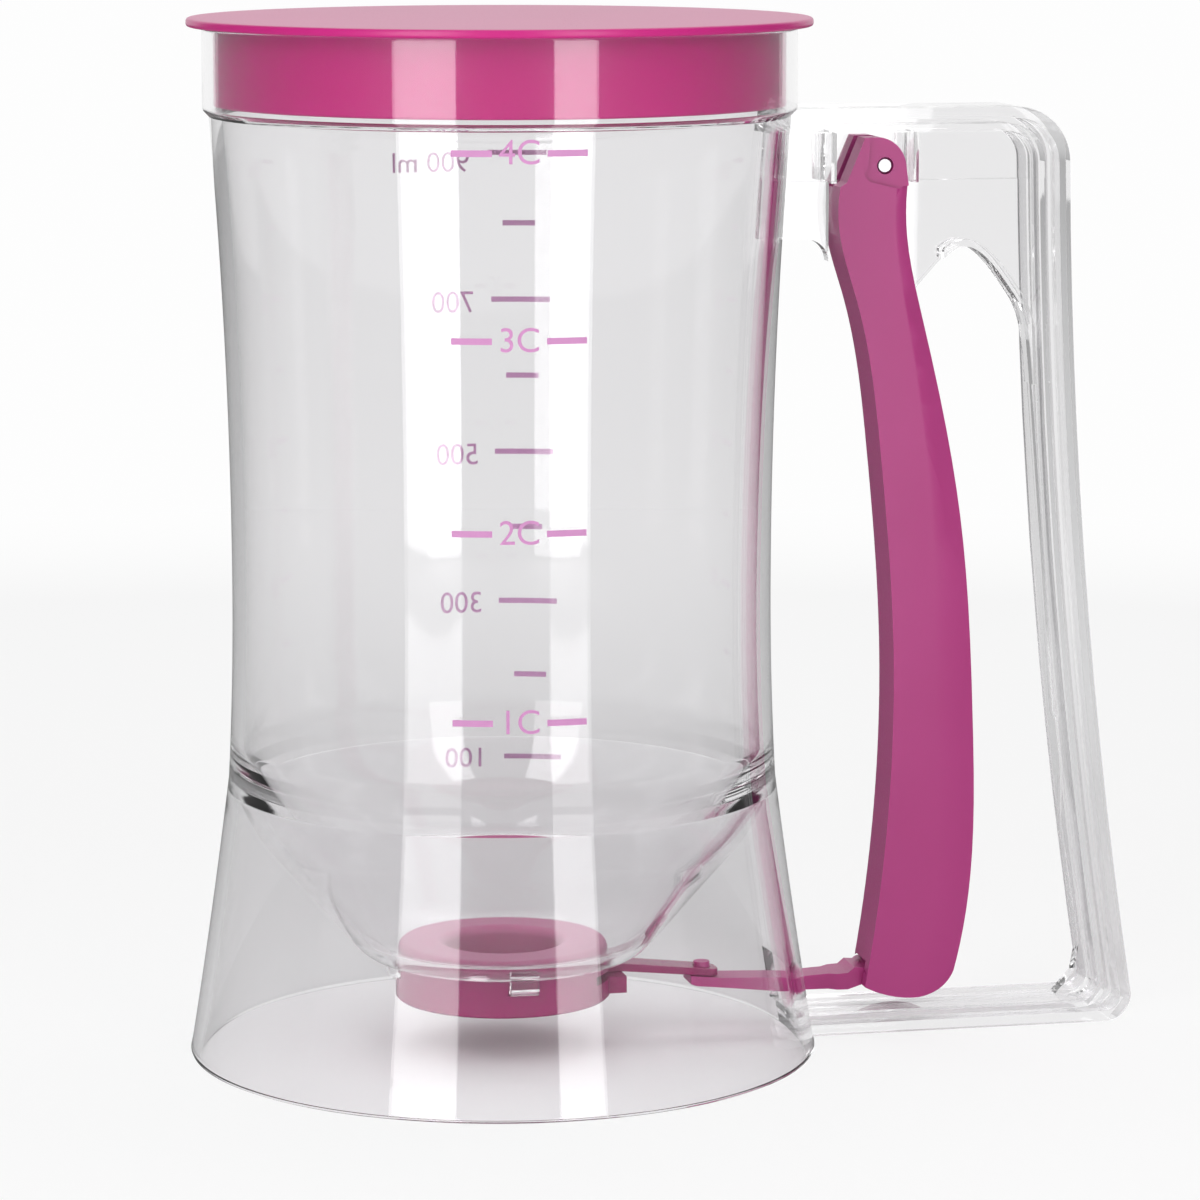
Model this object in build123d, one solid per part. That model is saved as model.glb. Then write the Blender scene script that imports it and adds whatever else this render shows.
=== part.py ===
"""Squeeze-handle batter dispenser, in millimetres.

The origin is the centre of the base, on the surface that the dispenser stands on. +Z is up and
+X points from the jug's axis to the handle. Everything is modelled at rest: lid in, valve shut.
"""
from build123d import *
import math
import os

# ---------------------------------------------------------------- driving dimensions
# Jug wall
jug_height = 183.5          # to the rim, under the lid
base_radius = 56.5
skirt_height = 50.0         # where the flared skirt becomes the container wall
skirt_top_radius = 49.0
skirt_bow = 0.25            # how far the skirt's flank curves in from a straight cone
waist_radius = 48.0
waist_height = 85.0
shoulder_radius = 51.2      # container wall just under the rim band
wall = 2.4
skirt_wall = 2.2
rim_band = 14.5             # height of the wider band that the lid's plug sits in
rim_radius = 52.3
rim_wall = 1.9
edge_round = 0.5            # rounding of the rim's and the base's edges

# Funnel and outlet
funnel_wall = 2.2
funnel_shoulder_angle = 75.0
funnel_angle = 50.0
funnel_floor_height = 16.3  # underside of the funnel's flat floor
outlet_floor_radius = 24.2  # where the cone's underside would meet that floor
outlet_radius = 19.1        # seat for the seal
prong_width = 5.0
prong_length = 2.6
prong_thickness = 1.5
prong_barb = 0.5

# Lid
lid_thickness = 1.5
lid_radius = 55.0
plug_depth = 13.6
plug_wall = 1.7
plug_tip_round = 0.6
lid_edge_round = 0.6
lid_clearance = 0.15

# Handle frame
frame_width = 14.0          # across Y
frame_drop = 15.0           # top of the handle below the rim
frame_reach_top = 46.1      # outer edge beyond the base radius, at the top
frame_reach_foot = 60.2     # the same at the foot
frame_bow = 2.8             # how far the outer edge curves in between them
frame_corner = 10.0
foot_corner = 5.0
outer_flange = 2.0
inner_flange = 1.4
inner_foot_round = 3.0
bar_depth = 4.3             # outer face of the outer flange to inner face of the inner flange
post_depth = 6.0            # the same down the back post
web_thickness = 3.0
cell_recess = 0.5           # how much thinner the web is, each side, in the top cells
cell_drop = 13.2            # lower edge of the cells below the handle's top
rib_thickness = 1.0
arch_drop = 25.2            # top of the finger arch below the handle's top
arch_bead_width = 1.3       # the web's thicker edge round the fingers
arch_bead_thickness = 6.0
gusset_drop = 23.5          # top of the arch beside the jug
tongue_drop = 37.0          # tip of the web tongue that runs inside the trigger
arch_end_drop = 50.5        # where the finger arch meets the post
strip_end = 55.5            # where the web stops standing proud of the post
web_proud = 0.5
bulge_height = 37.0         # the thumb-sized bulge low on the post
bulge_proud = 1.4

# Trigger and its pivot
pivot_reach = 12.0          # beyond the base radius
pivot_drop = 10.2           # below the handle's top
trigger_width = 14.0
trigger_gap = 2.1           # between the trigger's foot and the bottom bar
trigger_wall = 2.2          # finger side
trigger_pocket = 7.2        # width of the hollow behind it
finger_round = 4.5
facet_side = 7.2            # the bevel along the back, measured on the flank, lower down
facet_head = 2.4            # the same below the head
facet_full = 0.65           # share of the way down where it has its full width
facet_back = 1.6            # the same bevel, measured on the back
fork_clearance = 0.4
pin_radius = 1.45
pin_length = 12.0
pin_hold_clearance = 0.03
pin_run_clearance = 0.08
head_recess = 0.7
sole_wall = 2.4

# Return spring
wire_radius = 0.35
coil_radius = 2.15
coil_turns = 2.5
coil_pitch = 0.8
spring_leg = 13.0           # how far the pushing leg reaches below the pin
spring_leg_lean = 3.4       # and how far it leans towards the finger wall
spring_hook_drop = 7.5      # the hooked leg's hole below the pin
spring_room = 5.0           # the recess's floor, from the handle's mid-plane

# Valve
housing_height = 7.0
housing_radius = 19.4
housing_bore = 11.0
gate_thickness = 1.5
gate_radius = 12.6
gate_clearance = 0.05       # above and below the gate
gate_side_clearance = 0.2
gate_travel = 20.6
seal_top_height = 20.4
seal_bore = 10.4
seal_neck_radius = 15.2
seal_clearance = 0.15
seal_round = 1.6
channel_floor = 3.6         # gate channel's floor above the housing's underside
tongue_width = 5.5
tongue_thickness = 1.3
tongue_fall = 1.8           # how far the gate's tongue slopes down to the arm
tongue_end = 39.8

# Pull arm
arm_width = 6.0             # between the gate's tongue and the slot in the skirt
arm_end_width = 8.0         # outside the skirt
arm_thickness = 2.4
peg_radius = 1.5
peg_place = 37.0
peg_clearance = 0.15
hook_bar_radius = 1.5
hook_bar_length = 11.6
hook_clearance = 0.4
hook_end_clearance = 0.2
hook_height = 10.3          # centre of the hook bar above the base
hook_inset = 0.5            # hook bar's centre towards the jug from below the pivot
arm_slot_width = 16.0
arm_slot_top = 14.0

# ---------------------------------------------------------------- derived places
ledge_height = jug_height - rim_band
frame_top = jug_height - frame_drop
pivot_x = base_radius + pivot_reach
pivot_z = frame_top - pivot_drop
bar_top = bar_depth
trigger_foot = bar_top + trigger_gap
trigger_drop = pivot_z - trigger_foot
housing_base = funnel_floor_height - housing_height
gate_bottom = housing_base + channel_floor + gate_clearance
gate_top = gate_bottom + gate_thickness
hook_x = pivot_x - hook_inset
cell_floor = frame_top - cell_drop
far = 4 * base_radius       # larger than anything here, for cutting tools


# ---------------------------------------------------------------- helpers
def side_plate(face, width):
    """A face drawn in X and Z, made into a plate centred on the handle's mid-plane."""
    return extrude(Plane.XZ * face, amount=width / 2, both=True)


def turned(face):
    """A face drawn in radius and Z, turned round the jug's axis."""
    return revolve(Plane.XZ * face, Axis.Z)


def block(x_low, x_high, half_width, z_low, z_high):
    """A box symmetric about the handle's mid-plane."""
    return Pos((x_low + x_high) / 2, 0, (z_low + z_high) / 2) * Box(
        x_high - x_low, 2 * half_width, z_high - z_low)


def cross_pin(x, z, radius, y_low, y_high):
    """A round bar along Y."""
    middle = Pos(x, (y_low + y_high) / 2, z)
    return middle * Rot(90, 0, 0) * Cylinder(radius, y_high - y_low)


def disc(radius, z_low, z_high):
    """A cylinder on the jug's axis."""
    return Pos(0, 0, (z_low + z_high) / 2) * Cylinder(radius, z_high - z_low)


# ---------------------------------------------------------------- jug
def outer_edges(inset):
    """The jug's outer line from base to shoulder, moved in by inset."""
    base = (base_radius - inset, 0)
    junction = (skirt_top_radius - inset, skirt_height)
    waist = (waist_radius - inset, waist_height)
    shoulder = (shoulder_radius - inset, ledge_height - (rim_radius - shoulder_radius))
    bow = ((base[0] + junction[0]) / 2 - skirt_bow, skirt_height / 2)
    return [
        ThreePointArc(base, bow, junction),
        TangentArc(waist, junction, tangent=(0, -1)),
        TangentArc(waist, shoulder, tangent=(0, 1)),
    ]


def jug_wall():
    """Skirt, container wall and rim band, without the funnel."""
    skin = outer_edges(0)
    shoulder = (shoulder_radius, ledge_height - (rim_radius - shoulder_radius))
    seat_radius = rim_radius - rim_wall
    inner_top = (shoulder_radius - wall, ledge_height)
    inner_waist = (waist_radius - wall, waist_height)
    inner_low = (skirt_top_radius - skirt_wall, skirt_height)
    inner_base = (base_radius - skirt_wall, 0)
    inner_bow = ((inner_low[0] + inner_base[0]) / 2 - skirt_bow, skirt_height / 2)
    rim = Polyline(shoulder, (rim_radius, ledge_height), (rim_radius, jug_height),
                   (seat_radius, jug_height), (seat_radius, ledge_height), inner_top)
    lining = [
        TangentArc(inner_waist, inner_top, tangent=(0, 1)),
        TangentArc(inner_waist, inner_low, tangent=(0, -1)),
        ThreePointArc(inner_low, inner_bow, inner_base),
        Line(inner_base, (base_radius, 0)),
    ]
    profile = make_face(Curve() + skin + rim + lining)
    exposed = [v for v in profile.vertices() if v.Y < edge_round or v.Y > jug_height - edge_round]
    return turned(fillet(exposed, edge_round))


def funnel_bowl():
    """The bowl-shaped funnel, from inside the wall down to the flat floor round the outlet."""
    half = funnel_wall / 2
    cone = math.tan(math.radians(funnel_angle))
    steep = math.tan(math.radians(funnel_shoulder_angle))
    floor = funnel_floor_height + half
    start = (skirt_top_radius - skirt_wall, skirt_height + half)
    foot = (outlet_floor_radius - half * math.tan(math.radians(funnel_angle / 2)), floor)
    rise = (start[1] - floor - steep * (start[0] - foot[0])) / (1 - steep / cone)
    knee = (foot[0] + rise / cone, floor + rise)
    line = FilletPolyline(start, knee, foot, (outlet_radius, floor), radius=6)
    return turned(trace(line, funnel_wall))


def valve_prong(angle):
    """One snap prong under the funnel floor, with its barb, that holds the valve housing up."""
    inner = housing_radius + seal_clearance
    low = funnel_floor_height - prong_length
    hook = Polyline((inner, funnel_floor_height), (inner + prong_thickness, funnel_floor_height),
                    (inner + prong_thickness, low + prong_barb), (inner + prong_thickness - prong_barb, low),
                    (inner, low), (inner - prong_barb, low + prong_barb), (inner, low + 2 * prong_barb),
                    close=True)
    return Rot(0, 0, angle) * side_plate(make_face(hook), prong_width)


def post_x(height, inset):
    """X of the back post's outer edge at a height, moved in by inset: a straight slope with a bow."""
    low, high = foot_corner, frame_top - frame_corner
    share = (height - low) / (high - low)
    slope = frame_reach_foot + share * (frame_reach_top - frame_reach_foot)
    return base_radius + slope - 4 * frame_bow * share * (1 - share) - inset


def frame_outline(bar_inset, post_inset, top_round, foot_round):
    """A closed face inside the handle's outer edge that reaches back to the jug's axis."""
    top, low = frame_top - bar_inset, bar_inset
    bend = 1 - math.sqrt(0.5)
    high_end, low_end = top - top_round, low + foot_round
    top_x, foot_x = post_x(high_end, post_inset), post_x(low_end, post_inset)
    middle = (high_end + low_end) / 2
    return make_face(Curve() + [
        Line((0, top), (top_x - top_round, top)),
        ThreePointArc((top_x - top_round, top), (top_x - bend * top_round, top - bend * top_round),
                      (top_x, high_end)),
        ThreePointArc((top_x, high_end), (post_x(middle, post_inset), middle), (foot_x, low_end)),
        ThreePointArc((foot_x, low_end), (foot_x - bend * foot_round, low + bend * foot_round),
                      (foot_x - foot_round, low)),
        Polyline((foot_x - foot_round, low), (0, low), (0, top)),
    ])


def proud(height, amount):
    """A point on the post's inner face, or standing proud of it by an amount."""
    return post_x(height, post_depth) - amount, height


def finger_arch():
    """The web's edge over the fingers, from its tongue to the post."""
    arch_top = frame_top - arch_drop
    tip = frame_top - tongue_drop
    return Spline((pivot_x + 5.5, tip + 1.5), (pivot_x + 8.4, arch_top - 6), (pivot_x + 16, arch_top),
                  (pivot_x + 24, arch_top - 7), proud(frame_top - arch_end_drop, web_proud),
                  tangents=[(0.3, 1), (0.1, -1)])


def hand_window():
    """The opening between jug and back post, with the web tongue that runs inside the trigger."""
    slot_left = pivot_x - 9.1
    slot_right = pivot_x - 4.7
    tip = frame_top - tongue_drop
    gusset = frame_top - gusset_drop
    arch_end = frame_top - arch_end_drop
    return make_face(Curve() + [
        Line((0, bar_top), (0, gusset)),
        Line((0, gusset), (slot_left - 4, gusset)),
        ThreePointArc((slot_left - 4, gusset), (slot_left - 1.2, gusset - 1.2), (slot_left, gusset - 4)),
        Line((slot_left, gusset - 4), (slot_left, cell_floor)),
        Line((slot_left, cell_floor), (slot_right, cell_floor)),
        Line((slot_right, cell_floor), (slot_right + 0.8, gusset + 1)),
        Line((slot_right + 0.8, gusset + 1), (slot_right + 6.6, tip + 1.5)),
        ThreePointArc((slot_right + 6.6, tip + 1.5), (slot_right + 8.4, tip), finger_arch() @ 0),
        finger_arch(),
        Polyline(proud(arch_end, web_proud), proud(strip_end + 1.5, web_proud), proud(strip_end, 0),
                 proud(bulge_height + 10, 0), proud(bulge_height, bulge_proud),
                 proud(bulge_height - 23, bulge_proud - 0.5), proud(bar_top + 4, bulge_proud + 1.4),
                 (post_x(bar_top, post_depth) - 7, bar_top), (0, bar_top)),
    ])


def handle_frame():
    """I-section handle: web, outer and inner flanges, two ribs beside the pivot, bead over the fingers."""
    edge = frame_outline(0, 0, frame_corner, foot_corner)
    outer_gap = frame_outline(outer_flange, outer_flange,
                              frame_corner - outer_flange, foot_corner - outer_flange)
    inner_top_round = frame_corner - bar_depth
    inner_edge = frame_outline(bar_depth, post_depth, inner_top_round, inner_foot_round)
    inner_back = frame_outline(bar_depth - inner_flange, post_depth - inner_flange,
                               inner_top_round + inner_flange, inner_foot_round + inner_flange)
    window = hand_window() & inner_edge
    web = side_plate(edge - window, web_thickness)
    bead = side_plate(trace(finger_arch(), 2 * arch_bead_width) - window, arch_bead_thickness)
    bead &= block(pivot_x + 12, far, arch_bead_thickness, 0, frame_top)
    flanges = side_plate((edge - outer_gap) + (inner_back - inner_edge), frame_width)
    ribs = [block(x, x + rib_thickness, frame_width / 2, cell_floor, frame_top - bar_depth + inner_flange / 2)
            for x in (pivot_x - 10.1, pivot_x + 5.0)]
    cells = inner_edge & make_face(Polyline(
        (0, cell_floor), (0, far), (far, far), (far, cell_floor), close=True))
    bay = Pos(pivot_x - 2, frame_top) * Rectangle(17, far)
    cut = side_plate(cells - bay, frame_width) - side_plate(cells, web_thickness - 2 * cell_recess)
    return (web - cut) + flanges + ribs + bead


def jug_envelope():
    """Everything within the jug's outer face, as one solid, for trimming what joins it from outside."""
    skin = outer_edges(0)
    close = Polyline(skin[-1] @ 1, (rim_radius, ledge_height), (rim_radius, jug_height), (0, jug_height),
                     (0, 0), skin[0] @ 0)
    return Rot(0, 0, 180) * turned(make_face(Curve() + skin + close))


def jug():
    """Container wall and flared skirt, with the slot that the pull arm runs through."""
    slot = block(skirt_top_radius - 10, base_radius + 0.5, arm_slot_width / 2, bar_top, arm_slot_top)
    return jug_wall() - slot


def funnel():
    """The funnel inside the wall, with the prongs under its floor. Moulded in one with the jug."""
    body = funnel_bowl() - jug_wall()
    return body + [valve_prong(angle) for angle in (90, 180, 270)]


def handle():
    """The frame outside the wall, bored for the pin and the spring. Moulded in one with the jug."""
    body = handle_frame() - jug_envelope()
    body -= cross_pin(pivot_x, pivot_z, pin_radius + pin_hold_clearance, -far, far)
    hook_hole = (pivot_x + coil_radius, pivot_z - spring_hook_drop)
    return body - cross_pin(*hook_hole, wire_radius + 0.2, -far, far)


# ---------------------------------------------------------------- lid
def lid():
    """Push-in lid: a flat flange with a rounded edge and a hollow plug that fills the rim band."""
    plug = rim_radius - rim_wall - lid_clearance
    top = jug_height + lid_thickness
    low = jug_height - plug_depth
    face = make_face(Polyline(
        (0, top), (lid_radius, top), (lid_radius, jug_height), (plug, jug_height), (plug, low),
        (plug - plug_wall, low), (plug - plug_wall, jug_height), (0, jug_height), close=True))
    edge = [v for v in face.vertices() if v.X > plug + 1]
    face = fillet(edge, lid_edge_round)
    tip = [v for v in face.vertices() if v.Y < low + 0.1]
    return turned(fillet(tip, plug_tip_round))


# ---------------------------------------------------------------- trigger
def at_pivot(points):
    """Points given from the pivot, in the part's X and Z."""
    return [(pivot_x + x, pivot_z + z) for x, z in points]


def finger_line(inset):
    """The jug side of the trigger, from the shoulder under the head to the foot."""
    stations = [(-8.4, 0.024), (-8.3, 0.085), (-5.2, 0.157), (-0.6, 0.335), (2.2, 0.577), (0.9, 0.82),
                (-2.6, 0.985)]
    return at_pivot([(x + inset, -share * trigger_drop) for x, share in stations])


def facet_width(share):
    """Width of the back's bevel on the flank, growing from the head down."""
    grown = min(1, share / facet_full)
    return facet_head + (facet_side - facet_head) * grown ** 2 * (3 - 2 * grown)


def back_line(facets=0):
    """The frame side of the trigger, from the head to the foot, moved in by so many widths of the bevel."""
    stations = [(4.4, 0.024), (4.3, 0.075), (7.5, 0.183), (15.0, 0.424), (17.7, 0.667), (16.6, 0.91),
                (14.6, 0.972)]
    return at_pivot([(x - facets * facet_width(share), -share * trigger_drop) for x, share in stations])


def trigger_profile():
    """The trigger seen from the side."""
    fingers = finger_line(0)
    back = back_line()
    head_left, head_right = at_pivot([(-3.9, 5.0), (-0.6, 5.0)])
    boss_mid, boss_low = at_pivot([(2.7, 3.0), (3.9, 0)])
    neck = at_pivot([(-7.2, -2.9)])[0]
    foot = at_pivot([(12.2, -trigger_drop + 1.4), (4.6, -trigger_drop)])
    return make_face(Curve() + [
        Spline(*fingers), Polyline(fingers[0], neck, head_left, head_right),
        ThreePointArc(head_right, boss_mid, boss_low), Line(boss_low, back[0]), Spline(*back),
        Spline(back[-1], foot[0], foot[1], fingers[-1])])


def bevel_cutter(side):
    """What the bevel along the back takes off one flank, lofted from the back's own line to the flank."""
    sections = []
    for facets in (0, 2):
        line = back_line(facets)
        low = line[-1][1] - trigger_width
        outline = make_face(Curve() + [Spline(*line), Polyline(
            line[-1], (line[-1][0], low), (2 * pivot_x, low), (2 * pivot_x, line[0][1]), line[0])])
        reach = trigger_width / 2 + (facets - 1) * facet_back
        sections.append(Plane.XZ.offset(-side * reach) * outline)
    return loft(sections, ruled=True)


def trigger_blank():
    """The trigger's outside: rounded finger side and bevelled back."""
    blank = side_plate(trigger_profile(), trigger_width)
    long_edges = [e for e in blank.edges().filter_by(GeomType.BSPLINE) if e.length > trigger_drop * 0.8]
    blank = fillet(ShapeList(long_edges).sort_by(Axis.X)[:2], finger_round)
    return blank - [bevel_cutter(side) for side in (-1, 1)]


def trigger_hollow():
    """The channel behind the finger wall, open to the frame and at the foot behind the hook bar."""
    inner = finger_line(trigger_wall)[1:]
    return make_face(Curve() + [Spline(*inner), Polyline(
        inner[0], (inner[0][0], pivot_z - 7), (pivot_x + 40, pivot_z - 7),
        (pivot_x + 40, trigger_foot + sole_wall), (hook_x + 3.5, trigger_foot + sole_wall),
        (hook_x + 3.5, trigger_foot - 5), (inner[-1][0], trigger_foot - 5), inner[-1])])


def spring_recess():
    """Room inside the +Y cheek for the coil and for both of its legs."""
    room = coil_radius + wire_radius + 0.45
    foot = -spring_leg - 1.5
    legs = make_face(Polyline(*at_pivot([(-room, 0), (room, 0), (room, -8), (-2.6, foot), (-6.0, foot),
                                         (-6.0, -9)]), close=True))
    face = legs + Pos(pivot_x, pivot_z) * Circle(room)
    low = web_thickness / 2
    return extrude(Plane.XZ.offset(-low) * face, amount=-(spring_room - low))


def trigger():
    """The squeeze lever: a channel open to the frame, forked at its head round the handle's web."""
    body = trigger_blank() - side_plate(trigger_hollow(), trigger_pocket)
    slot = web_thickness / 2 + fork_clearance
    body -= block(pivot_x - 20, pivot_x + 20, slot, pivot_z - 4, pivot_z + 20)
    body -= block(pivot_x - 8.4 + trigger_wall, pivot_x + 20, slot, pivot_z - 8, pivot_z - 3)
    body -= cross_pin(pivot_x, pivot_z, pin_radius + pin_run_clearance, -far, far)
    body -= spring_recess()
    recess = make_face(Polyline(*at_pivot([(-2.8, 6), (-3.3, -0.4), (-4.1, -1.5), (-3.0, -2.8), (2.4, -4.1),
                                           (6, -4.6), (6, 6)]), close=True))
    body -= side_plate(recess, far) - side_plate(recess, trigger_width - 2 * head_recess)
    body -= block(pivot_x - 20, hook_x, arm_end_width / 2 + hook_clearance, 0, hook_height + 2.7)
    window = Pos(hook_x, hook_height + 0.2) * Rot(0, 0, 90) * SlotOverall(
        2 * hook_bar_radius + 1.1, 2 * (hook_bar_radius + hook_clearance / 2))
    return body - side_plate(window, hook_bar_length + 2 * hook_end_clearance)


# ---------------------------------------------------------------- pivot
def pivot_pin():
    """Plain steel pin with chamfered ends, held in the web and carrying the trigger's fork."""
    pin = cross_pin(pivot_x, pivot_z, pin_radius, -pin_length / 2, pin_length / 2)
    return chamfer(pin.edges().filter_by(GeomType.CIRCLE), 0.3)


# ---------------------------------------------------------------- return spring
def rod(start, end):
    """A straight piece of spring wire with round ends."""
    path = Line(start, end)
    wire = sweep(Plane(path @ 0, z_dir=path % 0) * Circle(wire_radius), path=path)
    return wire + [Pos(*place) * Sphere(1.04 * wire_radius) for place in (start, end)]


def return_spring():
    """Torsion spring on the pin: a coil, a leg that pushes the trigger and a leg hooked in the web."""
    first = web_thickness / 2 + fork_clearance + wire_radius
    rise = coil_turns * coil_pitch
    helix = Helix(coil_pitch, rise, coil_radius, lefthand=True)
    ring = Plane(helix @ 0, z_dir=helix % 0) * Circle(wire_radius)
    coil = Pos(pivot_x, first, pivot_z) * Rot(-90, 0, 0) * sweep(ring, path=helix)
    push_top = (pivot_x - coil_radius, first + rise, pivot_z)
    push_foot = (push_top[0] - spring_leg_lean, push_top[1], pivot_z - spring_leg)
    hook_top = (pivot_x + coil_radius, first, pivot_z)
    hook_turn = (hook_top[0], first, pivot_z - spring_hook_drop)
    hook_end = (hook_top[0], -1.0, hook_turn[2])
    return coil + rod(push_top, push_foot) + rod(hook_top, hook_turn) + rod(hook_turn, hook_end)


# ---------------------------------------------------------------- valve
def valve_seal():
    """Soft ring: the flange fills the funnel's outlet, the neck sits in the housing over the gate."""
    seat = outlet_radius - seal_clearance
    neck_low = gate_top + gate_clearance
    profile = make_face(Polyline(
        (seal_bore, neck_low), (seal_neck_radius, neck_low), (seal_neck_radius, funnel_floor_height),
        (seat, funnel_floor_height), (seat, seal_top_height), (seal_bore, seal_top_height), close=True))
    lips = [v for v in profile.vertices() if v.Y > seal_top_height - 0.1]
    return turned(fillet(lips, seal_round))


def valve_housing():
    """The ring below the funnel: bore, gate channel open to the handle side, seat for the seal."""
    top = funnel_floor_height
    ring = chamfer(disc(housing_radius, housing_base, top).edges().filter_by(GeomType.CIRCLE), 0.4)
    guide = block(housing_bore + 5, housing_radius + 2.1, 6.5, housing_base + 0.6, gate_bottom - gate_clearance)
    low, high = gate_bottom - gate_clearance, gate_top + gate_clearance
    side = gate_radius + gate_side_clearance
    body = ring + guide
    body -= disc(housing_bore, housing_base - 1, top + 1)
    body -= disc(side, low, high) + block(0, 2 * housing_radius, side, low, high)
    body -= disc(seal_neck_radius + seal_clearance, high, top + 1)
    barb = top - prong_length + prong_barb
    return body - [Rot(0, 0, angle) * block(housing_radius - 0.7, far, prong_width / 2 + 0.3,
                                            barb - 0.8, barb + 0.8) for angle in (90, 180, 270)]


def tongue_line(place):
    """Height of the gate tongue's underside at a distance from the jug's axis."""
    slope_start = housing_radius + 2.1
    share = max(0, (place - slope_start) / (tongue_end - slope_start))
    return gate_bottom - tongue_fall * share


def valve_gate():
    """Sliding plate that shuts the outlet, with a sloping tongue that the pull arm hooks."""
    plate = disc(gate_radius, gate_bottom, gate_top)
    shoulder = make_face(Polyline(
        (2, gate_radius - 0.2), (8, gate_radius - 1.6), (17, tongue_width / 2),
        (17, -tongue_width / 2), (8, 1.6 - gate_radius), (2, 0.2 - gate_radius), close=True))
    plate += Pos(0, 0, gate_bottom) * extrude(shoulder, amount=gate_thickness)
    bend = housing_radius + 2.1
    end_low = tongue_line(tongue_end)
    strap = make_face(Polyline(
        (10, gate_bottom), (bend, gate_bottom), (tongue_end, end_low),
        (tongue_end, end_low + tongue_thickness), (bend, gate_top), (10, gate_top), close=True))
    tongue = side_plate(strap, tongue_width)
    tip = tongue.edges().filter_by(Axis.Z).group_by(Axis.X)[-1]
    tongue = fillet(tip, tongue_width * 0.35)
    hole = Pos(peg_place, 0, gate_bottom) * Cylinder(peg_radius + peg_clearance, 10)
    return plate + tongue - hole


def pull_arm():
    """Link from the gate's tongue to the trigger: peg at one end, hook bar at the other, wider end."""
    lap_start, lap_end = peg_place - 2.7, tongue_end + 0.4
    lap_gap = 0.2
    top_at = [tongue_line(x) - lap_gap for x in (lap_start, lap_end)]
    neck_x = hook_x - 4.5
    arm_low = hook_height - arm_thickness
    half, end_half = arm_width / 2, arm_end_width / 2
    shoulder = base_radius + 3.5
    plan = make_face(Polyline(
        (0, half), (shoulder, half), (shoulder + 1.5, end_half), (far, end_half), (far, -end_half),
        (shoulder + 1.5, -end_half), (shoulder, -half), (0, -half), close=True))
    arm = make_face(Polyline(
        (lap_start, top_at[0]), (lap_end, top_at[1]), (neck_x - 8, hook_height + 0.1),
        (neck_x, hook_height + 0.5), (neck_x + 1.2, hook_height + 1.5), (hook_x, hook_height + 1.2),
        (hook_x, hook_height - 1.2), (neck_x, arm_low - 0.2), (neck_x - 12, arm_low),
        (lap_start + 1, top_at[0] - 1.9), (lap_start, top_at[0] - 1.5), close=True))
    link = side_plate(arm, arm_end_width) & extrude(plan, amount=arm_slot_top)
    link += cross_pin(hook_x, hook_height, hook_bar_radius, -hook_bar_length / 2, hook_bar_length / 2)
    peg_low = tongue_line(peg_place) - 1
    link += Pos(peg_place, 0, peg_low + 1.6) * Cylinder(peg_radius, 3.2)
    return link


# ---------------------------------------------------------------- write
PARTS = {
    "jug": jug,
    "funnel": funnel,
    "handle": handle,
    "lid": lid,
    "trigger": trigger,
    "pivot_pin": pivot_pin,
    "return_spring": return_spring,
    "valve_seal": valve_seal,
    "valve_housing": valve_housing,
    "valve_gate": valve_gate,
    "pull_arm": pull_arm,
}

os.makedirs("parts", exist_ok=True)
for name, make in PARTS.items():
    export_step(make(), f"parts/{name}.step")
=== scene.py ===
"""Looks of a squeeze-handle batter dispenser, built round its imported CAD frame.

All sizes in the classes are millimetres in the part's own frame: the origin is the centre of the base on the
surface that it stands on, +Z is up and +X points from the jug's axis to the handle.
"""
from __future__ import annotations

import logging
import math
from dataclasses import dataclass, field
from enum import Enum
from typing import Iterable, Sequence

import bpy
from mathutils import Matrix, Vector

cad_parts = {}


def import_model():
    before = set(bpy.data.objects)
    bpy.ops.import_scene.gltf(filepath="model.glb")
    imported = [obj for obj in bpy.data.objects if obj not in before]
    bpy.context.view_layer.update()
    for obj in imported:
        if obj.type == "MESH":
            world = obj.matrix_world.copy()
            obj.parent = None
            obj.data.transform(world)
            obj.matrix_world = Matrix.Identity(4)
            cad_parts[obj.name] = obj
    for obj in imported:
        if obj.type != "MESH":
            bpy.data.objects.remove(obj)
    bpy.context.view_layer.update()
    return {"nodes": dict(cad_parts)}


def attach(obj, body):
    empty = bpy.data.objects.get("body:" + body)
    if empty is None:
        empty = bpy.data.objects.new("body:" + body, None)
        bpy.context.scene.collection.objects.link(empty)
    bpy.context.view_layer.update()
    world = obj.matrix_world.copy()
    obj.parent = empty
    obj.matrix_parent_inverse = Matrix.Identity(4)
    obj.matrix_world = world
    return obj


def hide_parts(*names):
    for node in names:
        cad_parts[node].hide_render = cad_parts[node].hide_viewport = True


MM = 0.001
PLASTIC_IOR = 1.5
SPIN_MERGE = 1e-6
CAD_MERGE = 2e-6
TEXT_MERGE = 1e-5
log = logging.getLogger("dispenser")

Point = tuple[float, float]
Place = tuple[float, float, float]
Colour = tuple[float, float, float]


class Body(Enum):
    """The rigid bodies that pieces ride on."""

    JUG = "body"
    TRIGGER = "trigger"
    GATE = "gate"
    ARM = "arm"
    LID = "lid"


class Slot(Enum):
    """Names for material slots; the mechanism's plan lists them, but no piece is given one."""

    CLEAR = "clear_body"
    LID = "lid"
    TRIGGER = "trigger"
    VALVE = "valve"
    SEAL = "seal"
    STEEL = "steel"


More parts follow.
